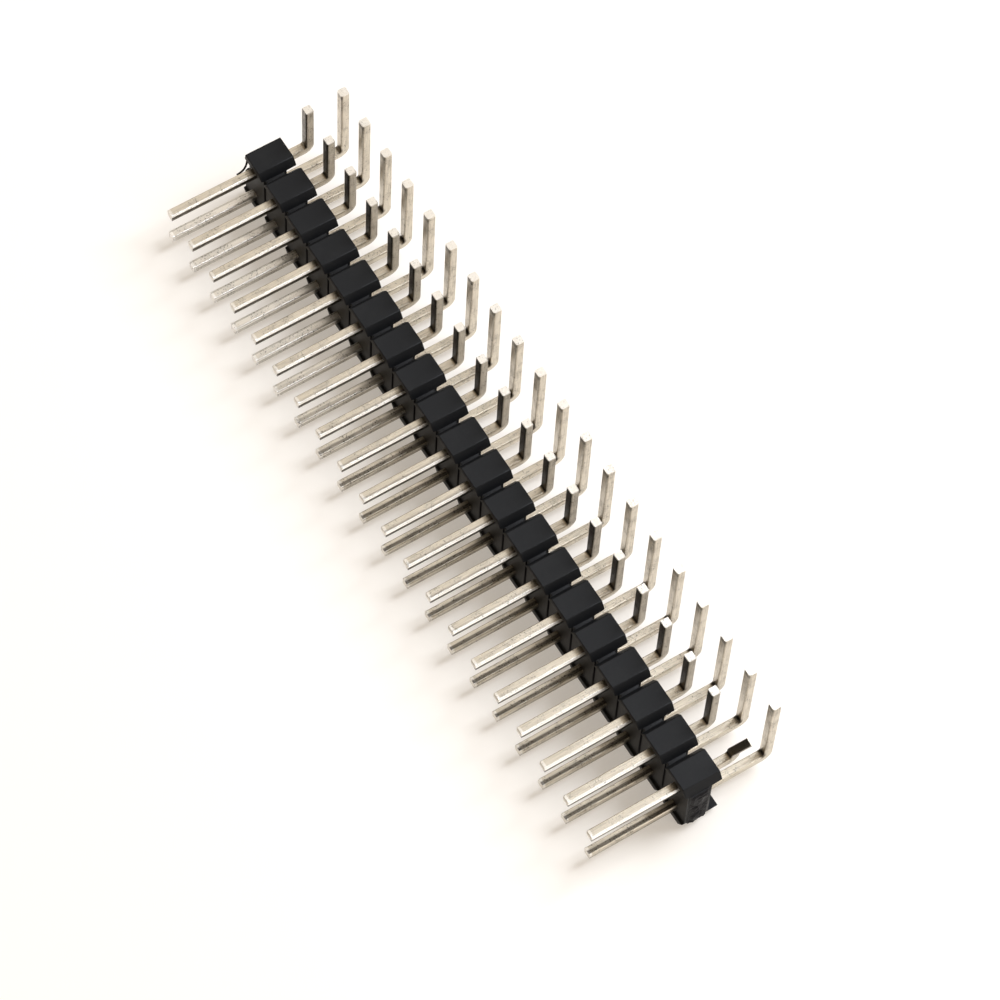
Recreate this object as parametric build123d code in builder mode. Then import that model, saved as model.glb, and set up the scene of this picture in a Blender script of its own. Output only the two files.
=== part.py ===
from build123d import *
import math
import os

# Two-row right-angle pin header strip, sizes in millimetres.
# X runs along the strip, the mating pins point to -Y and the solder tails rise to +Z.
# The origin is on the underside of the body, at mid length and mid depth.

# grid of the pins
pitch = 2.54
columns = 20
row_spacing = pitch

# moulded body
body_depth = 2.53
edge_to_row = 1.15
top_flat = 1.60
notch_depth = 0.55
notch_floor = 0.20
front_step = 0.165
rear_step = 0.70
groove_front = 0.15
groove_rear = 0.245
edge_break = 0.06
corner_break = 0.10

# square pins
pin_size = 0.56
hole_clearance = 0.01
mating_reach = 5.85
mating_tip_length = 0.30
mating_tip_inset = 0.12
tail_setback = 1.50
tail_rise = 3.05
tail_tip_length = 0.12
tail_tip_inset = 0.10
bend_radius = 0.47

# last tail of the upper row, knocked over to the side
knocked_side = 1.24
knocked_back = 0.29
knock_radius = 0.80

# ends where the strip was snapped off a longer one
tear_thickness = 0.10
tear_bevel = 0.05
broken_rim = 0.42
broken_web = 0.68
broken_above = 2.30
flash_thickness = 0.12
flash_reach = 0.655
flash_drop = 1.20
flash_root = 0.13

body_height = row_spacing + 2 * edge_to_row
foot_width = pitch - notch_floor
front_y = -body_depth / 2
rear_y = body_depth / 2
core_front = front_y + front_step
core_rear = rear_y - rear_step
core_low = notch_depth
core_high = body_height - notch_depth
web_front = core_front + groove_front
web_rear = core_rear - groove_rear
hole_size = pin_size + 2 * hole_clearance
lower_row_z = edge_to_row
upper_row_z = edge_to_row + row_spacing
tail_top = body_height + tail_rise
first_column_x = -(columns - 1) / 2 * pitch
strip_end = columns * pitch / 2
broken_rim_x = broken_rim - strip_end
broken_web_x = broken_web - strip_end
column_x = [first_column_x + i * pitch for i in range(columns)]

os.makedirs("parts", exist_ok=True)


# Cross-section of a pin, a plain square that may be smaller at a tip.
def pin_section(plane, inset=0.0):
    with BuildSketch(plane) as section:
        side = pin_size - 2 * inset
        Rectangle(side, side)
    return section.sketch


# One pin: chamfered mating tip, straight shank, rounded bend and rising tail.
# The tail may be knocked over by the given distances at its tip.
def make_pin(x, row_z, tail_y, side=0.0, back=0.0):
    tip_y = front_y - mating_reach
    shank_y = tip_y + mating_tip_length
    bend_y = tail_y - bend_radius
    bend_z = row_z + bend_radius
    slant = bend_radius * math.sqrt(0.5)
    rise = tail_top - bend_z
    offset = math.hypot(side, back)
    angle = math.asin(offset / rise)
    toward = Vector(side, back, 0) * (1 / offset) if offset else Vector(1, 0, 0)
    up = Vector(0, 0, 1)
    start = Vector(x, tail_y, bend_z)
    half = toward * (knock_radius * (1 - math.cos(angle / 2))) + up * (knock_radius * math.sin(angle / 2))
    full = toward * (knock_radius * (1 - math.cos(angle))) + up * (knock_radius * math.sin(angle))
    along = toward * math.sin(angle) + up * math.cos(angle)
    straight = rise - knock_radius * angle - tail_tip_length
    tip_base = start + full + along * straight
    tip_end = tip_base + along * tail_tip_length
    across = Vector(0, 1, 0).cross(along)

    with BuildPart() as pin:
        with BuildLine() as path:
            Line((x, shank_y, row_z), (x, bend_y, row_z))
            ThreePointArc(
                (x, bend_y, row_z),
                (x, bend_y + slant, bend_z - slant),
                (x, tail_y, bend_z),
            )
            if offset:
                ThreePointArc(start, start + half, start + full)
                Line(start + full, tip_base)
            else:
                Line(start, tip_base)
        shank_plane = Plane(origin=(x, shank_y, row_z), x_dir=(1, 0, 0), z_dir=(0, 1, 0))
        tip_plane = Plane(origin=(x, tip_y, row_z), x_dir=(1, 0, 0), z_dir=(0, 1, 0))
        sweep(sections=pin_section(shank_plane), path=path.line)
        loft(sections=[pin_section(tip_plane, mating_tip_inset), pin_section(shank_plane)])
        base_plane = Plane(origin=tip_base, x_dir=across, z_dir=along)
        end_plane = Plane(origin=tip_end, x_dir=across, z_dir=along)
        loft(sections=[pin_section(base_plane), pin_section(end_plane, tail_tip_inset)])
    return pin.part


# One cell of the body, the piece of the strip that holds the two pins of a column.
# Seen along the strip it is an I with a deeper channel at the rear, and seen along
# the pins it narrows to a flat at the top and bottom, which leaves the break notches.
def make_cell():
    half_pitch = pitch / 2
    half_foot = foot_width / 2
    half_flat = top_flat / 2
    with BuildPart() as cell:
        with BuildSketch(Plane.YZ):
            with BuildLine():
                Polyline(
                    (front_y, 0),
                    (rear_y, 0),
                    (rear_y, core_low),
                    (core_rear, core_low),
                    (core_rear, core_high),
                    (rear_y, core_high),
                    (rear_y, body_height),
                    (front_y, body_height),
                    (front_y, core_high),
                    (core_front, core_high),
                    (core_front, core_low),
                    (front_y, core_low),
                    close=True,
                )
            make_face()
        extrude(amount=half_pitch, both=True)
        with BuildSketch(Plane.XZ):
            with BuildLine():
                right_side = Polyline(
                    (0, body_height),
                    (half_flat, body_height),
                    (half_foot, core_high),
                    (half_pitch, core_high),
                    (half_pitch, core_low),
                    (half_foot, core_low),
                    (half_flat, 0),
                    (0, 0),
                )
                mirror(right_side, about=Plane.YZ)
            make_face()
        extrude(amount=body_depth, both=True, mode=Mode.INTERSECT)
        with BuildSketch(Plane.XY.offset(core_low)):
            for side in (-half_pitch, half_pitch):
                with Locations((side, core_front)):
                    Rectangle(notch_floor, 2 * groove_front)
                with Locations((side, core_rear)):
                    Rectangle(notch_floor, 2 * groove_rear)
        extrude(amount=core_high - core_low, mode=Mode.SUBTRACT)
        rim_ends = cell.faces().group_by(Axis.Y)[0] + cell.faces().group_by(Axis.Y)[-1]
        chamfer(rim_ends.edges().filter_by(Axis.X, reverse=True), corner_break)
        rim_flats = cell.faces().group_by(Axis.Z)[0] + cell.faces().group_by(Axis.Z)[-1]
        chamfer(rim_flats.edges(), edge_break)
        with BuildSketch(Plane.XZ):
            with Locations((0, lower_row_z), (0, upper_row_z)):
                Rectangle(hole_size, hole_size)
        extrude(amount=body_depth, both=True, mode=Mode.SUBTRACT)
    return cell.part


# A torn remnant on the +X end. Its corners are given in shares of the broken web,
# from its front to its rear and from its lower to its upper edge.
def make_tear(corners):
    web_depth = web_rear - web_front
    web_height = core_high - core_low
    with BuildPart() as tear:
        with BuildSketch(Plane.YZ.offset(strip_end)):
            with BuildLine():
                outline = [(web_front + u * web_depth, core_low + v * web_height) for u, v in corners]
                Polyline(*outline, close=True)
            make_face()
        extrude(amount=tear_thickness)
        outer_face = tear.faces().sort_by(Axis.X)[-1]
        chamfer(outer_face.edges(), tear_bevel)
    return tear.part


# What broke off the -X end. The upper rim went off square at the edge of its flat and
# the web under it went farther back, while the lower part of the web stayed whole.
def make_break():
    outside_x = -strip_end - pitch
    outside_z = body_height + pitch
    with BuildPart() as lost:
        with BuildSketch(Plane.XZ):
            with BuildLine():
                Polyline(
                    (outside_x, broken_above),
                    (-strip_end, broken_above),
                    (broken_web_x, broken_above + broken_web),
                    (broken_web_x, core_high),
                    (broken_rim_x, core_high),
                    (broken_rim_x, outside_z),
                    (outside_x, outside_z),
                    close=True,
                )
            make_face()
        extrude(amount=body_depth, both=True)
    return lost.part


# The thin flash left hanging under the broken rim, curved forwards and down to a blunt tip.
def make_flash():
    root_front = front_y + edge_break
    root_rear = root_front + flash_root
    root_z = core_high + flash_thickness
    tip_y = front_y - flash_reach
    tip_z = core_high - flash_drop
    tip_low = tip_z - flash_thickness / 2
    with BuildPart() as flash:
        with BuildSketch(Plane.YZ.offset(broken_rim_x)):
            with BuildLine():
                front_edge = Bezier((root_front, root_z), (root_front, tip_z), (tip_y, tip_z))
                rear_edge = Bezier((tip_y, tip_low), (root_rear, tip_low), (root_rear, root_z))
                Line(front_edge @ 1, rear_edge @ 0)
                Line(rear_edge @ 1, front_edge @ 0)
            make_face()
        extrude(amount=flash_thickness)
    return flash.part


cell = make_cell()
tear_corners = [
    [(0.02, 0.97), (0.97, 0.98), (0.98, 0.73), (0.43, 0.60), (0.03, 0.67)],
    [(0.13, 0.54), (0.47, 0.55), (0.65, 0.40), (0.20, 0.36)],
    [(0.12, 0.27), (0.59, 0.30), (0.95, 0.13), (0.94, 0.02), (0.13, 0.02)],
]
tears = [make_tear(corners) for corners in tear_corners]
lost = make_break()
flash = make_flash()

# The moulded body is the row of cells, with the marks left where it was snapped off.
with BuildPart() as insulator_body:
    with Locations([(x, 0, 0) for x in column_x]):
        add(cell)
    add(lost, mode=Mode.SUBTRACT)
    add(tears)
    add(flash)
insulator_body.part.label = "insulator_body"
export_step(insulator_body.part, "parts/insulator_body.step")

# The pins of the upper row have the nearer tails, those of the lower row the farther ones.
upper_tail_y = rear_y + tail_setback
lower_tail_y = upper_tail_y + row_spacing
for number, x in enumerate(column_x, start=1):
    knocked = number == columns
    side = knocked_side if knocked else 0.0
    back = knocked_back if knocked else 0.0
    upper_pin = make_pin(x, upper_row_z, upper_tail_y, side, back)
    upper_pin.label = f"upper_pin_{number:02d}"
    export_step(upper_pin, f"parts/upper_pin_{number:02d}.step")
    lower_pin = make_pin(x, lower_row_z, lower_tail_y)
    lower_pin.label = f"lower_pin_{number:02d}"
    export_step(lower_pin, f"parts/lower_pin_{number:02d}.step")
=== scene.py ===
import math
import bmesh
import bpy
from mathutils import Euler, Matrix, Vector, noise


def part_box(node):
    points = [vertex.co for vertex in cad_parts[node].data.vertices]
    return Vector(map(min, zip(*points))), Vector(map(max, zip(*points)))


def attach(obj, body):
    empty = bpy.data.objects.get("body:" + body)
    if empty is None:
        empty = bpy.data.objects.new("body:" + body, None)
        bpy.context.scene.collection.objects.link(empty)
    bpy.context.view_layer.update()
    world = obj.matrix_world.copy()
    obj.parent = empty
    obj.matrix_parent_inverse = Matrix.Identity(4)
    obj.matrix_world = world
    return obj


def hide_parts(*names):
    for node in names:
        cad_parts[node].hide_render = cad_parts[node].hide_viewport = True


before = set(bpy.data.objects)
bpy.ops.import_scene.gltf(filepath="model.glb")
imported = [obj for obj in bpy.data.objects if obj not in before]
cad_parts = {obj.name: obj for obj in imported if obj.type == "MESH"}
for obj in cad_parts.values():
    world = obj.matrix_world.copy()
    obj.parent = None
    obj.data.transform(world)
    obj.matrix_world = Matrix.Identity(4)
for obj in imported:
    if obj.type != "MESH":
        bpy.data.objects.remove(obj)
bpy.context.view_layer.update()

# Camera
# A long lens looks down on the strip from its +X end and its mating side, so that
# the strip runs from the top left to the bottom right of a square picture.
camera_place = (0.104378, -0.072255, 0.244313)
camera_turn = (27.2909, -1.8778, 58.1706)
focal_length = 163.386
sensor_width = 36.0

camera = bpy.data.objects.new("camera", bpy.data.cameras.new("camera"))
bpy.context.scene.collection.objects.link(camera)
camera.location = camera_place
camera.rotation_euler = Euler([math.radians(a) for a in camera_turn])
camera.data.lens = focal_length
camera.data.sensor_width = sensor_width
camera.data.clip_start = 0.01
camera.data.clip_end = 10.0
bpy.context.scene.camera = camera
bpy.context.scene.view_settings.view_transform = "Standard"


# Floor and light
# A white sheet under the strip, in a room that is a little warmer and darker than the
# sheet. A strong cool lamp stands behind the strip, a weak soft one over its -X end and
# a wide low one beyond its +X end.
class Value:
    """One output of a node, which can be used in sums with numbers and with other outputs."""

    def __init__(self, graph, socket):
        self.graph = graph
        self.socket = socket

    def sum_with(self, operation, left, right):
        return self.graph.node("ShaderNodeMath", {"operation": operation}, {0: left, 1: right})

    def __add__(self, other):
        return self.sum_with("ADD", self, other)

    def __radd__(self, other):
        return self.sum_with("ADD", other, self)

    def __sub__(self, other):
        return self.sum_with("SUBTRACT", self, other)

    def __rsub__(self, other):
        return self.sum_with("SUBTRACT", other, self)

    def __mul__(self, other):
        return self.sum_with("MULTIPLY", self, other)

    def __rmul__(self, other):
        return self.sum_with("MULTIPLY", other, self)

    def __truediv__(self, other):
        return self.sum_with("DIVIDE", self, other)

    def __neg__(self):
        return self.sum_with("MULTIPLY", self, -1.0)


class Graph:
    """A node tree, to which nodes are added with their settings and then their inputs."""

    def __init__(self, tree):
        self.tree = tree

    def node(self, kind, settings=None, inputs=None, output=0):
        made = self.tree.nodes.new(kind)
        for name, setting in (settings or {}).items():
            if name == "items":
                while len(made.index_switch_items) < setting:
                    made.index_switch_items.new()
            else:
                setattr(made, name, setting)
        for name, given in (inputs or {}).items():
            if isinstance(given, Value):
                self.tree.links.new(given.socket, made.inputs[name])
            else:
                made.inputs[name].default_value = given
        return Value(self, made.outputs[output]) if made.outputs else None

    def above(self, given, low, high):
        """0 where the value is under low, 1 where it is over high, and smooth between."""
        return self.node(
            "ShaderNodeMapRange",
            {"interpolation_type": "SMOOTHSTEP"},
            {"Value": given, "From Min": low, "From Max": high},
        )

    def mix(self, share, first, second):
        """A colour between two colours."""
        colours = {0: share, 6: first, 7: second}
        return self.node("ShaderNodeMix", {"data_type": "RGBA"}, colours, 2)

    def stretched(self, vector, factors):
        """A vector with each of its components multiplied by its own factor."""
        product = {"operation": "MULTIPLY"}
        return self.node("ShaderNodeVectorMath", product, {0: vector, 1: factors})

    def parts(self, vector):
        """The three components of a vector."""
        x = self.node("ShaderNodeSeparateXYZ", {}, {0: vector})
        outputs = x.socket.node.outputs
        return [Value(self, outputs[i]) for i in range(3)]

    def noise(self, vector, scale, detail=2.0, roughness=0.5):
        """Soft random values about 0.5 at so many features to the metre."""
        sizes = {"Vector": vector, "Scale": scale, "Detail": detail, "Roughness": roughness}
        return self.node("ShaderNodeTexNoise", {}, sizes)


def new_finish(name):
    """A material with an empty node tree, as the material and its graph."""
    material = bpy.data.materials.new(name)
    material.use_nodes = True
    material.node_tree.nodes.clear()
    return material, Graph(material.node_tree)


def surface(graph, inputs):
    """The shader that ends a material's graph, with its inputs by name."""
    shader = graph.node("ShaderNodeBsdfPrincipled", {}, inputs)
    graph.node("ShaderNodeOutputMaterial", {}, {"Surface": shader})


floor_size = 0.9
floor_grey = (0.97, 0.93, 0.88, 1.0)
floor_glow = (1.0, 0.93, 0.84, 1.0)
glow_share = 0.36

floor_mesh = bpy.data.meshes.new("floor")
half = floor_size / 2
floor_mesh.from_pydata(
    [(-half, -half, 0), (half, -half, 0), (half, half, 0), (-half, half, 0)], [], [(0, 1, 2, 3)]
)
floor = bpy.data.objects.new("floor", floor_mesh)
bpy.context.scene.collection.objects.link(floor)
sheet, graph = new_finish("white_sheet")
seen = graph.node("ShaderNodeLightPath", {}, {}, "Is Camera Ray")
mirrored = graph.node("ShaderNodeLightPath", {}, {}, "Is Glossy Ray")
plain = graph.node("ShaderNodeBsdfDiffuse", {}, {"Color": floor_grey})
glow = graph.node("ShaderNodeEmission", {}, {"Color": floor_glow, "Strength": 1.0})
share = (seen + mirrored) * glow_share
lit = graph.node("ShaderNodeMixShader", {}, {0: share, 1: plain, 2: glow})
graph.node("ShaderNodeOutputMaterial", {}, {"Surface": lit})
floor_mesh.materials.append(sheet)

room_colour = (1.0, 0.82, 0.60, 1.0)
room_strength = 0.34
world = bpy.data.worlds.new("room")
bpy.context.scene.world = world
world.use_nodes = True
world.node_tree.nodes.clear()
graph = Graph(world.node_tree)
room = graph.node("ShaderNodeBackground", {}, {"Color": room_colour, "Strength": room_strength})
graph.node("ShaderNodeOutputWorld", {}, {"Surface": room})


def add_lamp(name, place, width, height, power, colour):
    """A flat soft lamp of a width and height that points from its place at the strip."""
    lamp = bpy.data.objects.new(name, bpy.data.lights.new(name, "AREA"))
    bpy.context.scene.collection.objects.link(lamp)
    lamp.data.shape = "RECTANGLE"
    lamp.data.size = width
    lamp.data.size_y = height
    lamp.data.energy = power
    lamp.data.color = colour
    lamp.location = place
    lamp.rotation_euler = (-Vector(place)).to_track_quat("-Z", "Y").to_euler()


add_lamp(
    "overhead_lamp",
    place=(-0.262, 0.131, 0.365),
    width=0.32,
    height=0.32,
    power=0.25,
    colour=(1.0, 0.99, 0.98),
)
add_lamp(
    "side_lamp",
    place=(0.356, 0.108, 0.150),
    width=0.30,
    height=0.26,
    power=0.34,
    colour=(1.0, 1.0, 1.0),
)
add_lamp(
    "rear_lamp",
    place=(0.03, 0.27, 0.335),
    width=0.24,
    height=0.24,
    power=2.35,
    colour=(0.93, 0.99, 1.08),
)


# Moulded strip
# A bar of black plastic moulded in one piece, drawn without the holes that its pins
# fill. Each column is a block between two rims, with a notch at either side, and the
# bar ends in the rough faces left where it was snapped from a longer one.
mm = 0.001
columns = sum(name.startswith("upper_pin_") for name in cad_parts)
first_low, first_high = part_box("upper_pin_01")
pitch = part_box("upper_pin_02")[0].x - first_low.x
first_x = (first_low.x + first_high.x) / 2
body_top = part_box("insulator_body")[1].z
front_y = -1.265 * mm
rear_y = 1.265 * mm
top_flat = 1.60 * mm
notch_floor = 0.20 * mm
notch_depth = 0.55 * mm
web_front = -1.10 * mm
web_rear = 0.565 * mm
web_low = notch_depth
web_high = body_top - notch_depth
groove_front = -0.95 * mm
groove_rear = 0.32 * mm
moulded_edge = 0.05 * mm
edge_angle = math.radians(35)
joining_distance = 1e-6


def object_of(name, mesh):
    """A new object that shows a mesh."""
    made = bpy.data.objects.new(name, mesh)
    bpy.context.scene.collection.objects.link(made)
    return made


def plain_mesh(name, maker):
    """The evaluated mesh of an object as a plain object of that name. The maker is deleted."""
    bpy.context.view_layer.update()
    evaluated = maker.evaluated_get(bpy.context.evaluated_depsgraph_get())
    mesh = bpy.data.meshes.new_from_object(evaluated)
    mesh.name = name
    bpy.data.objects.remove(maker)
    return object_of(name, mesh)


def cell_mesh():
    """One column of the strip, open at both of its sides where its neighbours join it."""
    flat = top_flat / 2
    foot = (pitch - notch_floor) / 2
    side = pitch / 2
    mesh = bmesh.new()

    def point(x, y, z):
        return mesh.verts.new((x, y, z))

    def rim(z_flat, z_foot):
        flat_corners = ((-flat, front_y), (flat, front_y), (flat, rear_y), (-flat, rear_y))
        corners = [point(x, y, z_flat) for x, y in flat_corners]
        steps = (front_y, web_front, groove_front, groove_rear, web_rear, rear_y)
        right = [point(foot, y, z_foot) for y in steps]
        left = [point(-foot, y, z_foot) for y in steps]
        outer_right = [point(side, y, z_foot) for y in (groove_front, groove_rear)]
        outer_left = [point(-side, y, z_foot) for y in (groove_front, groove_rear)]
        mesh.faces.new(corners)
        mesh.faces.new([corners[1], corners[2]] + right[::-1])
        mesh.faces.new([corners[3], corners[0]] + left)
        mesh.faces.new([corners[0], corners[1], right[0], left[0]])
        mesh.faces.new([corners[2], corners[3], left[5], right[5]])
        mesh.faces.new([left[0], right[0], right[1], left[1]])
        mesh.faces.new([left[4], right[4], right[5], left[5]])
        mesh.faces.new([right[2], outer_right[0], outer_right[1], right[3]])
        mesh.faces.new([left[2], outer_left[0], outer_left[1], left[3]])
        front = [outer_left[0], left[2], left[1], right[1], right[2], outer_right[0]]
        rear = [outer_left[1], left[3], left[4], right[4], right[3], outer_right[1]]
        return front, rear

    lower = rim(0.0, web_low)
    upper = rim(body_top, web_high)
    for below, over in zip(lower, upper):
        for i in range(5):
            mesh.faces.new([below[i], below[i + 1], over[i + 1], over[i]])
    bmesh.ops.recalc_face_normals(mesh, faces=mesh.faces)
    made = bpy.data.meshes.new("cell")
    mesh.to_mesh(made)
    mesh.free()
    return made


def new_group(name, inputs):
    """A geometry node group with a geometry input and output and named inputs of given kinds."""
    group = bpy.data.node_groups.new(name, "GeometryNodeTree")
    group.interface.new_socket("Geometry", in_out="OUTPUT", socket_type="NodeSocketGeometry")
    group.interface.new_socket("Geometry", in_out="INPUT", socket_type="NodeSocketGeometry")
    for label, kind in inputs.items():
        group.interface.new_socket(label, in_out="INPUT", socket_type="NodeSocket" + kind)
    graph = Graph(group)
    given = graph.node("NodeGroupInput").socket.node.outputs
    return group, graph, {name: Value(graph, given[name]) for name in ["Geometry", *inputs]}


def run_group(maker, group, values):
    """Puts the group on an object as a modifier, with its inputs set by their identifiers."""
    modifier = maker.modifiers.new(group.name, "NODES")
    modifier.node_group = group
    for item in group.interface.items_tree:
        if item.item_type == "SOCKET" and item.in_out == "INPUT" and item.name in values:
            modifier[item.identifier] = values[item.name]


def row_of_cells():
    """The group that repeats a cell along the strip and joins each to the next."""
    kinds = {"Columns": "Int", "Pitch": "Float", "First X": "Float", "Plastic": "Material"}
    group, graph, given = new_group("row_of_cells", kinds)
    start = graph.node("ShaderNodeCombineXYZ", {}, {"X": given["First X"]})
    step = graph.node("ShaderNodeCombineXYZ", {}, {"X": given["Pitch"]})
    line = graph.node(
        "GeometryNodeMeshLine",
        {"mode": "OFFSET"},
        {"Count": given["Columns"], "Start Location": start, "Offset": step},
    )
    copies = {"Points": line, "Instance": given["Geometry"]}
    cells = graph.node("GeometryNodeInstanceOnPoints", {}, copies)
    real = graph.node("GeometryNodeRealizeInstances", {}, {"Geometry": cells})
    meeting = {"Geometry": real, "Distance": joining_distance}
    joined = graph.node("GeometryNodeMergeByDistance", {}, meeting)
    dressed = {"Geometry": joined, "Material": given["Plastic"]}
    coated = graph.node("GeometryNodeSetMaterial", {}, dressed)
    graph.node("NodeGroupOutput", {}, {"Geometry": coated})
    return group


plastic_colour = (0.0054, 0.0058, 0.0068, 1.0)
plastic_dust = (0.014, 0.014, 0.014, 1.0)
plastic_roughness = 0.42
cloud_roughness = 0.16
cloud_dust = 0.35
scuff_dust = 0.5
grain_height = 0.02 * mm
torn_colour = (0.0060, 0.0055, 0.0066, 1.0)
torn_dust = (0.014, 0.013, 0.015, 1.0)
crumb_height = 0.05 * mm


def moulded_plastic():
    """Satin black plastic with a faint grain, cloudy patches of dust and paler scuffs."""
    material, graph = new_finish("moulded_plastic")
    place = graph.node("ShaderNodeTexCoord", {}, {}, "Object")
    drawn_out = graph.stretched(place, (1.0, 0.25, 1.0))
    grain = graph.noise(place, scale=9000.0, detail=3.0)
    cloud = graph.noise(place, scale=700.0, detail=4.0, roughness=0.6)
    scuff = graph.noise(drawn_out, scale=2600.0, detail=5.0, roughness=0.7)
    clouded = graph.above(cloud, low=0.45, high=0.75)
    scuffed = graph.above(scuff, low=0.62, high=0.78)
    dusty = clouded * cloud_dust + scuffed * scuff_dust
    relief = {"Strength": 0.25, "Distance": grain_height, "Height": grain}
    bump = graph.node("ShaderNodeBump", {}, relief)
    surface(
        graph,
        {
            "Base Color": graph.mix(dusty, plastic_colour, plastic_dust),
            "Roughness": plastic_roughness + cloud * cloud_roughness,
            "Normal": bump,
            "Specular IOR Level": 0.2,
        },
    )
    return material


def torn_plastic():
    """The same plastic where it was snapped: matt, finely ragged and a little purple."""
    material, graph = new_finish("torn_plastic")
    place = graph.node("ShaderNodeTexCoord", {}, {}, "Object")
    crumb = graph.noise(place, scale=6000.0, detail=5.0, roughness=0.7)
    pale = graph.above(crumb, low=0.55, high=0.80)
    relief = {"Strength": 0.6, "Distance": crumb_height, "Height": crumb}
    bump = graph.node("ShaderNodeBump", {}, relief)
    surface(
        graph,
        {
            "Base Color": graph.mix(pale, torn_colour, torn_dust),
            "Roughness": 0.6,
            "Normal": bump,
            "Specular IOR Level": 0.15,
        },
    )
    return material


plastic = moulded_plastic()
torn = torn_plastic()
maker = object_of("cells", cell_mesh())
row_values = {"Columns": columns, "Pitch": pitch, "First X": first_x, "Plastic": plastic}
run_group(maker, row_of_cells(), row_values)
blank = plain_mesh("blank_strip", maker)
torn_stub = 0.12 * mm


def close_ends(strip):
    """Closes the two ends, and draws the +X end out a little to be cut back to its torn face."""
    mesh = bmesh.new()
    mesh.from_mesh(strip.data)
    for side in (-1, 1):
        edges = [e for e in mesh.edges if e.is_boundary and e.verts[0].co.x * side > 0]
        if side > 0:
            for vert in {vert for edge in edges for vert in edge.verts}:
                vert.co.x += torn_stub
        bmesh.ops.contextual_create(mesh, geom=edges)
    bmesh.ops.recalc_face_normals(mesh, faces=mesh.faces)
    mesh.to_mesh(strip.data)
    mesh.free()


close_ends(blank)
edges = blank.modifiers.new("moulded_edges", "BEVEL")
edges.width = moulded_edge
edges.segments = 3
edges.limit_method = "ANGLE"
edges.angle_limit = edge_angle
blank = plain_mesh("blank_strip", blank)

tear_step = 0.06 * mm
tear_side = 1.5 * mm
tear_depth = 0.05 * mm
tear_scale = 2.6
tear_form = (0.7, 2.0, 4)  # roughness, ratio of one octave to the next, and octaves
lift_shift = Vector((7.3, 1.9, 4.1))
plate_height = 0.08 * mm
hollow_depth = 0.04 * mm
plate_slope = 0.12 * mm
plates = [
    [(0.02, 0.97), (0.97, 0.98), (0.98, 0.73), (0.43, 0.60), (0.03, 0.67)],
    [(0.13, 0.54), (0.47, 0.55), (0.65, 0.40), (0.20, 0.36)],
    [(0.12, 0.27), (0.59, 0.30), (0.95, 0.13), (0.94, 0.02), (0.13, 0.02)],
]


def plate_relief(y, z):
    """Height of the torn +X face, which stands proud in three plates and is hollow between."""
    best = 0.0
    web_depth = groove_rear - groove_front
    web_height = web_high - web_low
    for corners in plates:
        spots = [
            Vector((groove_front + u * web_depth, web_low + v * web_height)) for u, v in corners
        ]
        middle = sum(spots, Vector((0.0, 0.0))) / len(spots)
        inside = 1.0
        for start, end in zip(spots, spots[1:] + spots[:1]):
            outward = Vector((end.y - start.y, start.x - end.x)).normalized()
            if outward.dot(middle - start) > 0:
                outward = -outward
            inside = min(inside, -outward.dot(Vector((y, z)) - start) / plate_slope)
        best = max(best, min(1.0, inside))
    return plate_height * best - hollow_depth * (1.0 - best)


def no_relief(y, z):
    """The broken -X face has only its ragged grain."""
    return 0.0


def rough_block(name, profile, far_x, relief):
    """A closed block with a ragged side along the given corners in X and Z, to cut with."""
    path = []
    for (x, z), (next_x, next_z) in zip(profile, profile[1:]):
        run, rise = next_x - x, next_z - z
        steps = max(1, round(math.hypot(run, rise) / tear_step))
        path += [(x + run * i / steps, z + rise * i / steps) for i in range(steps)]
    path.append(profile[-1])
    rows = round(2 * tear_side / tear_step)
    mesh = bmesh.new()
    rings = []
    for row in range(rows + 1):
        y = -tear_side + 2 * tear_side * row / rows
        ring = []
        for x, z in path:
            spot = Vector((x, y, z)) / mm * tear_scale
            push = noise.fractal(spot, *tear_form) * tear_depth
            lift = noise.fractal(spot + lift_shift, *tear_form) * tear_depth
            ring.append(mesh.verts.new((x + relief(y, z) + push, y, z + lift)))
        ring.append(mesh.verts.new((far_x, y, path[-1][1])))
        ring.append(mesh.verts.new((far_x, y, path[0][1])))
        rings.append(ring)
    for first, second in zip(rings, rings[1:]):
        for i in range(len(first)):
            j = (i + 1) % len(first)
            mesh.faces.new([first[i], first[j], second[j], second[i]])
    mesh.faces.new(rings[0])
    mesh.faces.new(rings[-1])
    bmesh.ops.recalc_face_normals(mesh, faces=mesh.faces)
    made = bpy.data.meshes.new(name)
    mesh.to_mesh(made)
    mesh.free()
    made.materials.append(torn)
    return object_of(name, made)


broken_profile = [
    (-25.355, -1.00),
    (-25.355, 2.34),
    (-24.72, 2.98),
    (-24.72, 4.27),
    (-24.96, 4.31),
    (-24.96, 6.00),
]
torn_profile = [(25.42, -1.00), (25.42, 6.00)]
broken_path = [(x * mm, z * mm) for x, z in broken_profile]
torn_path = [(x * mm, z * mm) for x, z in torn_profile]
beyond_ends = 28 * mm
cutters = [
    rough_block("broken_cutter", broken_path, -beyond_ends, no_relief),
    rough_block("torn_cutter", torn_path, beyond_ends, plate_relief),
]
for cutter in cutters:
    cutting = blank.modifiers.new(cutter.name, "BOOLEAN")
    cutting.operation = "DIFFERENCE"
    cutting.solver = "EXACT"
    cutting.material_mode = "TRANSFER"
    cutting.object = cutter
strip = plain_mesh("moulded_strip", blank)
for cutter in cutters:
    bpy.data.objects.remove(cutter)

flash_x = -24.92 * mm
flash_half = 0.06 * mm
flash_front = [(-1.215, 4.41), (-1.215, 3.12), (-1.92, 3.10)]
flash_rear = [(-1.045, 4.41), (-1.045, 2.99), (-1.90, 3.01)]
flash_section = [(0.0, 0.0), (0.25, 0.9), (0.75, 0.9), (1.0, 0.0), (0.75, -0.9), (0.25, -0.9)]
flash_steps = 18
wave_scale = 3.0
wave_height = 0.1
sharp_angle = math.radians(38)


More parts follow.
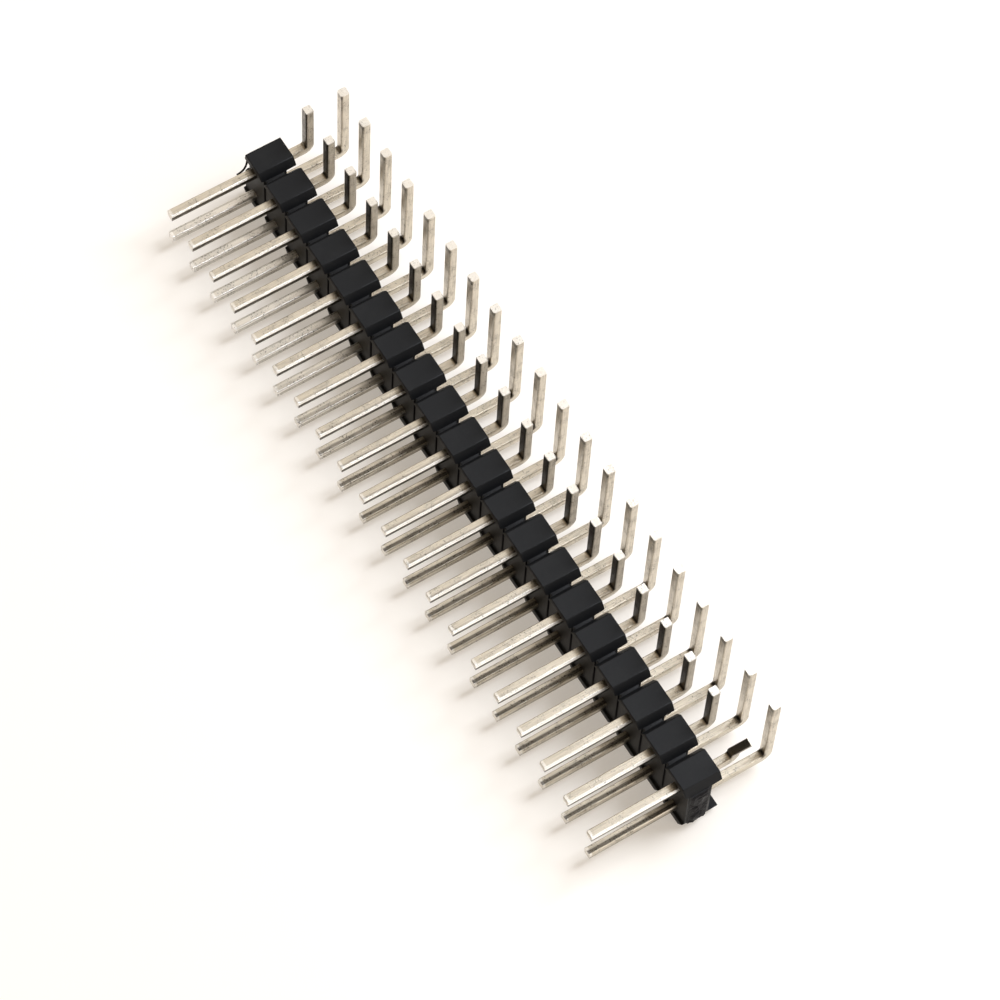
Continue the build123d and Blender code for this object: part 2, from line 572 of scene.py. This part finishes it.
def add_flash(strip):
    """Joins on the thin blade of flash that hangs under the broken rim and curls forwards."""
    mesh = bmesh.new()
    mesh.from_mesh(strip.data)

    def curve(corners, t):
        first, second, third = (Vector(corner) * mm for corner in corners)
        return first * (1 - t) ** 2 + second * (2 * t * (1 - t)) + third * t**2

    rings = []
    for step in range(flash_steps + 1):
        t = step / flash_steps
        front, rear = curve(flash_front, t), curve(flash_rear, t)
        ring = []
        for share, thick in flash_section:
            spot = front.lerp(rear, share)
            wave = noise.noise(Vector((0.0, spot.x, spot.y)) / mm * wave_scale) * wave_height
            out_x = flash_x + flash_half * (thick + wave)
            ring.append(mesh.verts.new((out_x, spot.x, spot.y)))
        rings.append(ring)
    blade = [mesh.faces.new(rings[0]), mesh.faces.new(rings[-1])]
    for first, second in zip(rings, rings[1:]):
        for i in range(len(first)):
            j = (i + 1) % len(first)
            blade.append(mesh.faces.new([first[i], first[j], second[j], second[i]]))
    for face in blade:
        face.material_index = strip.data.materials.find(torn.name)
    bmesh.ops.recalc_face_normals(mesh, faces=blade)
    mesh.to_mesh(strip.data)
    mesh.free()


add_flash(strip)
for face in strip.data.polygons:
    face.use_smooth = True
strip.data.set_sharp_from_angle(angle=sharp_angle)
normals = strip.modifiers.new("even_faces", "WEIGHTED_NORMAL")
normals.keep_sharp = True
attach(strip, "root")
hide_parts("insulator_body")


# Bent pins
# Square copper-alloy wire with a pale plating, pushed through the bar and then
# bent up behind it. Both ends are pressed to a blunt point. The lower row is
# bent farther out than the upper one, and the last upper tail is knocked over.
pin_size = 0.56 * mm
edge_radius = 0.06 * mm
rolled_extra = 0.06 * mm
bend_radius = 0.47 * mm
knock_radius = 0.80 * mm
knock_gap = 0.02 * mm
knocked_side = 1.20 * mm
knocked_back = 0.29 * mm
mating_tip_length = 0.30 * mm
mating_tip_inset = 0.12 * mm
tail_tip_length = 0.12 * mm
tail_tip_inset = 0.10 * mm
bend_steps = 10
edge_steps = 4


def bent_pins():
    """The group that draws one row of bent pins, each a rounded square swept along its path."""
    kinds = {
        "Columns": "Int",
        "Pitch": "Float",
        "First X": "Float",
        "Row Height": "Float",
        "Mating End": "Float",
        "Tail Place": "Float",
        "Tail Top": "Float",
        "Tail Side": "Float",
        "Tail Back": "Float",
        "Pin Size": "Float",
        "Edge Radius": "Float",
        "Rolled Extra": "Float",
        "Bend Radius": "Float",
        "Knock Radius": "Float",
        "Mating Tip Length": "Float",
        "Mating Tip Share": "Float",
        "Tail Tip Length": "Float",
        "Tail Tip Share": "Float",
        "Plating": "Material",
    }
    group, graph, given = new_group("bent_pins", kinds)

    def place(x, y, z):
        return graph.node("ShaderNodeCombineXYZ", {}, {"X": x, "Y": y, "Z": z})

    side = given["Tail Side"]
    back = given["Tail Back"]
    bend_top = given["Row Height"] + given["Bend Radius"]
    rise = given["Tail Top"] - bend_top
    reach = graph.node("ShaderNodeMath", {"operation": "SQRT"}, {0: side * side + back * back})
    lean = graph.node("ShaderNodeMath", {"operation": "ARCSINE"}, {0: reach / rise})
    half_turn = graph.node("ShaderNodeMath", {"operation": "TANGENT"}, {0: lean * 0.5})
    upright = graph.node("ShaderNodeMath", {"operation": "COSINE"}, {0: lean})
    knock = given["Knock Radius"] * half_turn + knock_gap
    leaning = rise - knock + given["Knock Radius"] * (2.0 * half_turn - lean)

    def tail(length):
        return place(
            side / rise * length,
            given["Tail Place"] + back / rise * length,
            bend_top + knock + upright * length,
        )

    corners = [
        place(0.0, given["Mating End"], given["Row Height"]),
        place(0.0, given["Mating End"] + given["Mating Tip Length"], given["Row Height"]),
        place(0.0, given["Tail Place"], given["Row Height"]),
        place(0.0, given["Tail Place"], bend_top + knock),
        tail(leaning - given["Tail Tip Length"]),
        tail(leaning),
    ]
    index = graph.node("GeometryNodeInputIndex")
    chosen = {"Index": index}
    chosen.update({str(i): corner for i, corner in enumerate(corners)})
    count = len(corners)
    at = graph.node("GeometryNodeIndexSwitch", {"data_type": "VECTOR", "items": count}, chosen)
    line = graph.node("GeometryNodeMeshLine", {"mode": "OFFSET"}, {"Count": count})
    placed = graph.node("GeometryNodeSetPosition", {}, {"Geometry": line, "Position": at})
    path = graph.node("GeometryNodeMeshToCurve", {}, {"Mesh": placed})
    turns = {"Index": index, "2": given["Bend Radius"], "3": given["Knock Radius"]}
    turn = graph.node("GeometryNodeIndexSwitch", {"data_type": "FLOAT", "items": count}, turns)
    rounded = {"Curve": path, "Count": bend_steps, "Radius": turn}
    bent = graph.node("GeometryNodeFilletCurve", {"mode": "POLY"}, rounded)
    for sizes, share in (((1, 0), "Mating Tip Share"), ((0, 1), "Tail Tip Share")):
        at_end = {"Start Size": sizes[0], "End Size": sizes[1]}
        tip = graph.node("GeometryNodeCurveEndpointSelection", {}, at_end)
        narrowed = {"Curve": bent, "Selection": tip, "Radius": given[share]}
        bent = graph.node("GeometryNodeSetCurveRadius", {}, narrowed)
    length = graph.node("GeometryNodeSplineParameter", {}, {}, "Length")
    bent = graph.node(
        "GeometryNodeStoreNamedAttribute",
        {"data_type": "FLOAT", "domain": "POINT"},
        {"Geometry": bent, "Name": "along", "Value": length},
    )
    sides = {"Width": given["Pin Size"], "Height": given["Pin Size"]}
    square = graph.node("GeometryNodeCurvePrimitiveQuadrilateral", {}, sides)
    spot = graph.node("GeometryNodeInputPosition")
    u, v = graph.parts(spot)[:2]
    right = graph.node("ShaderNodeMath", {"operation": "GREATER_THAN"}, {0: u, 1: 0.0})
    top = graph.node("ShaderNodeMath", {"operation": "LESS_THAN"}, {0: v, 1: 0.0})
    rounding = given["Edge Radius"] + right * top * given["Rolled Extra"]
    section = graph.node(
        "GeometryNodeFilletCurve",
        {"mode": "POLY"},
        {"Curve": square, "Count": edge_steps, "Radius": rounding},
    )
    section = graph.node(
        "GeometryNodeStoreNamedAttribute",
        {"data_type": "FLOAT_VECTOR", "domain": "POINT"},
        {"Geometry": section, "Name": "section", "Value": spot},
    )
    pin = graph.node(
        "GeometryNodeCurveToMesh", {}, {"Curve": bent, "Profile Curve": section, "Fill Caps": True}
    )
    start = place(given["First X"], 0.0, 0.0)
    step = place(given["Pitch"], 0.0, 0.0)
    row = graph.node(
        "GeometryNodeMeshLine",
        {"mode": "OFFSET"},
        {"Count": given["Columns"], "Start Location": start, "Offset": step},
    )
    pins = graph.node("GeometryNodeInstanceOnPoints", {}, {"Points": row, "Instance": pin})
    real = graph.node("GeometryNodeRealizeInstances", {}, {"Geometry": pins})
    shading = {"Geometry": real, "Shade Smooth": True}
    smooth = graph.node("GeometryNodeSetShadeSmooth", {}, shading)
    dressed = {"Geometry": smooth, "Material": given["Plating"]}
    plated = graph.node("GeometryNodeSetMaterial", {}, dressed)
    graph.node("NodeGroupOutput", {}, {"Geometry": plated})
    return group


plating_colour = (0.64, 0.58, 0.48, 1.0)
plating_shade = (0.36, 0.32, 0.26, 1.0)
# The next colour is that of painted highlights
painted_highlight_colour = (0.97, 0.95, 0.91, 1.0)
# The next colour is the dark of painted shade and painted reflection on the pins, and also of
# their real pits
shade_and_pit_colour = (0.05, 0.043, 0.034, 1.0)
# Strengths of painted shade and painted reflection on the pins, down to the lower left pins' dark
# lines
flank_painted_shade = 0.90
flank_fade = 0.4
lower_flank_share = 0.4
lower_top_painted_shade = 0.80
tail_painted_reflection = 0.80
tail_side_painted_shade = 0.3
bend_painted_shade = 0.7
tip_painted_shade = 0.5
top_line_painted_shade = 0.45
lower_line_painted_shade = 0.4
speck_tarnish = 0.75
upper_speck_loss = 0.2
# Strengths of painted highlight on the lower left pins and on the cut ends
lower_left_painted_highlight = 0.5
end_painted_highlight = 0.5
patch_spread = 0.10 * mm
column_spread = 0.009 * mm
roll_top = 0.21 * mm
roll_low = 0.15 * mm
draw_height = 0.015 * mm
draw_stretch = 0.05
column_shift = 0.01
pit_depth_share = 0.8
# The painted shade on the mating part is this share of full, and more along the draw marks
least_painted_shade = 0.7
streak_painted_shade = 0.6
first_shade = 0.1
worn_shade = 0.5
streak_shade = 3.0
plating_roughness = 0.24
worn_roughness = 0.10
streak_roughness = 0.10

# Where a mark is not there yet and where it is full, in millimetres along the wire from
# its mating end, across the wire from its middle, or in the strip's own frame.
mark_edges = {
    "mating part": (7.2, 6.6),
    "upper row": (2.2, 2.5),
    "right face": (0.22, 0.26),
    "under face": (0.20, 0.23),
    "under face's half": (0.0, 0.1),
    "bright side": (0.17, 0.21),
    "bright reach": (0.14, 0.18),
    "dark reach": (0.14, 0.08),
    "dark fade": (-0.02, -0.28),
    "scratch start": (-0.24, -0.19),
    "scratch end": (-0.12, -0.17),
    "dull start": (-0.10, 0.02),
    "dull end": (0.22, 0.16),
    "line start": (0.04, 0.12),
    "line end": (0.22, 0.18),
    "top face": (-0.18, -0.24),
    "near tail": (3.4, 3.3),
    "near tail start": (9.6, 10.1),
    "tail's front face": (-0.22, -0.26),
    "front side": (-0.12, -0.24),
    "bend start": (11.8, 12.1),
    "bend end": (13.0, 12.6),
    "far tail": (4.0, 4.1),
    "tip start": (7.35, 7.60),
    "tip end": (7.82, 7.76),
    "tail end": (7.80, 7.86),
    "mating end": (-6.90, -7.00),
}


def tin_plating():
    """Pale warm plating with fine draw marks along the wire, worn patches and small pits, and with
    painted shade, painted reflection and painted highlights on set parts of the pins.
    """
    material, graph = new_finish("pale_plating")
    along = graph.node("ShaderNodeAttribute", {"attribute_name": "along"}, {}, "Fac")
    section = graph.node("ShaderNodeAttribute", {"attribute_name": "section"}, {}, "Vector")
    place = graph.node("ShaderNodeTexCoord", {}, {}, "Object")
    x, y, z = graph.parts(place)
    u, v = graph.parts(section)[:2]
    column = graph.node("ShaderNodeMath", {"operation": "ROUND"}, {0: (x - first_x) / pitch})
    drawn_out = {"X": u + column * column_shift, "Y": v, "Z": along * draw_stretch}
    wire = graph.node("ShaderNodeCombineXYZ", {}, drawn_out)

    def edge(measure, name):
        """0 where a mark is not there yet and 1 where it is full, by its row in mark_edges."""
        start, full = mark_edges[name]
        return graph.above(measure, start * mm, full * mm)

    # draw marks, worn patches and pits
    streak = graph.noise(wire, scale=14000.0, detail=3.0, roughness=0.65)
    patch = graph.noise(place, scale=1100.0, detail=4.0, roughness=0.6)
    pit = graph.noise(place, scale=9000.0, detail=2.0, roughness=0.6)
    worn = graph.above(patch, low=0.42, high=0.72)

    # parts of the pins and of the strip that get painted shade and painted highlights of their own
    mating = edge(along, "mating part")
    upper = edge(z, "upper row")
    lower = 1.0 - upper
    left = graph.above(column, low=9.0, high=3.0)
    middle = graph.above(column, low=4.0, high=8.0) * graph.above(column, low=15.0, high=11.0)
    lower_left = lower * left
    spread = (patch - 0.5) * patch_spread + column * column_spread
    reach = spread - v
    flank = edge(u, "right face") + edge(v, "under face") * edge(u, "under face's half")

    # painted shade and painted reflection on the mating part: the dark flanks, the darker tops of
    # the lower row, a thin dark line on the upper tops and dark lines on the lower left pins
    dark = flank * edge(reach, "dark reach") * (1.0 - edge(reach, "dark fade") * flank_fade)
    dark = dark * (upper * (1.0 - lower_flank_share) + lower_flank_share)
    # painted shade on the tops of the lower row under the upper row, away from the left end
    top_band = edge(u, "dull start") * edge(u, "dull end") * edge(v, "top face")
    lower_top_shade = lower * top_band * (1.0 - left)
    # painted shade: a thin dark line along the upper row's tops in the middle columns
    lined = edge(u, "line start") * edge(u, "line end") * edge(v, "top face")
    line = middle * upper * lined
    # painted shade: a dark line along the tops of the lower left pins
    lower_dark_line = edge(u, "scratch start") * edge(u, "scratch end") * lower_left
    painted_shade_and_pits = dark * flank_painted_shade + lower_top_shade * lower_top_painted_shade
    painted_shade_and_pits = painted_shade_and_pits + line * top_line_painted_shade + lower_dark_line * lower_line_painted_shade

    # painted reflection of the black body on the near tails' front faces and painted shade on
    # their sides, painted shade on the far tails' bends and tips, and real pits as specks all over
    # painted reflection of the body on the near upper tails, painted shade on their sides
    near = upper * edge(y, "near tail") * edge(along, "near tail start")
    shaded = near * (edge(v, "tail's front face") * tail_painted_reflection + flank * tail_side_painted_shade)
    # painted shade on the front of the lower row's bends and the far tails' tips
    bend = edge(along, "bend start") * edge(along, "bend end") * lower
    tip = edge(z, "tip start") * edge(y, "far tail") * edge(z, "tip end")
    shaded = shaded + edge(v, "front side") * (bend * bend_painted_shade + tip * tip_painted_shade)
    specks = graph.above(pit, low=0.56, high=0.68) * graph.above(patch, low=0.38, high=0.58)
    specks = specks * (speck_tarnish - upper * upper_speck_loss)
    painted_shade_and_pits = mating * painted_shade_and_pits * (least_painted_shade + streak * streak_painted_shade) + shaded + specks

    # painted highlights on the upper edge of the flanks, on the lower left pins and on the cut
    # ends
    bright = edge(u, "bright side") * edge(reach, "bright reach") * (upper + lower_left)
    ends = edge(z, "tail end") + edge(y, "mating end")
    painted_highlight = mating * (bright + lower_left * lower_left_painted_highlight) + ends * end_painted_highlight
    shade = worn * worn_shade + (streak - 0.5) * streak_shade + first_shade
    colour = graph.mix(shade, plating_colour, plating_shade)
    colour = graph.mix(painted_highlight, colour, painted_highlight_colour)
    # painted shade and painted reflection, with the real pits, darken the colour here
    colour = graph.mix(painted_shade_and_pits, colour, shade_and_pit_colour)

    # the rolled upper edge of the flanks, under the fine relief of the draw marks
    low_edge = roll_low - spread
    rolled = graph.node("ShaderNodeMath", {"operation": "MINIMUM"}, {0: -v, 1: roll_top})
    rolled = graph.node("ShaderNodeMath", {"operation": "MAXIMUM"}, {0: rolled, 1: low_edge})
    roll_height = -(rolled * upper * mating)
    rolling = {"Strength": 1.0, "Distance": 1.0, "Height": roll_height}
    roll = graph.node("ShaderNodeBump", {}, rolling)
    marks = streak + pit * pit_depth_share
    drawing = {"Strength": 0.5, "Distance": draw_height, "Height": marks, "Normal": roll}
    bump = graph.node("ShaderNodeBump", {}, drawing)
    surface(
        graph,
        {
            "Base Color": colour,
            "Metallic": 1.0,
            "Roughness": plating_roughness + worn * worn_roughness + streak * streak_roughness,
            "Normal": bump,
        },
    )
    return material


plating = tin_plating()
pin_row = bent_pins()


def add_pins(name, numbers, row):
    """Pins of one row, from the first to the last of the given numbers, as one piece."""
    nodes = [f"{row}_pin_{number:02d}" for number in numbers]
    low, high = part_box(nodes[0])
    plain_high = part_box(f"{row}_pin_01")[1]
    knocked = high.x - low.x > 2 * pin_size
    maker = object_of(name + "_maker", bpy.data.meshes.new(name + "_maker"))
    values = {
        "Columns": len(nodes),
        "Pitch": pitch,
        "First X": low.x + pin_size / 2,
        "Row Height": low.z + pin_size / 2,
        "Mating End": low.y,
        "Tail Place": plain_high.y - pin_size / 2,
        "Tail Top": plain_high.z,
        "Tail Side": knocked_side if knocked else 0.0,
        "Tail Back": knocked_back if knocked else 0.0,
        "Pin Size": pin_size,
        "Edge Radius": edge_radius,
        "Rolled Extra": rolled_extra,
        "Bend Radius": bend_radius,
        "Knock Radius": knock_radius if knocked else 0.0,
        "Mating Tip Length": mating_tip_length,
        "Mating Tip Share": 1 - 2 * mating_tip_inset / pin_size,
        "Tail Tip Length": tail_tip_length,
        "Tail Tip Share": 1 - 2 * tail_tip_inset / pin_size,
        "Plating": plating,
    }
    run_group(maker, pin_row, values)
    pins = plain_mesh(name, maker)
    normals = pins.modifiers.new("even_faces", "WEIGHTED_NORMAL")
    normals.keep_sharp = True
    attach(pins, "root")
    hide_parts(*nodes)


add_pins("upper_pins", range(1, columns), "upper")
add_pins("knocked_pin", range(columns, columns + 1), "upper")
add_pins("lower_pins", range(1, columns + 1), "lower")
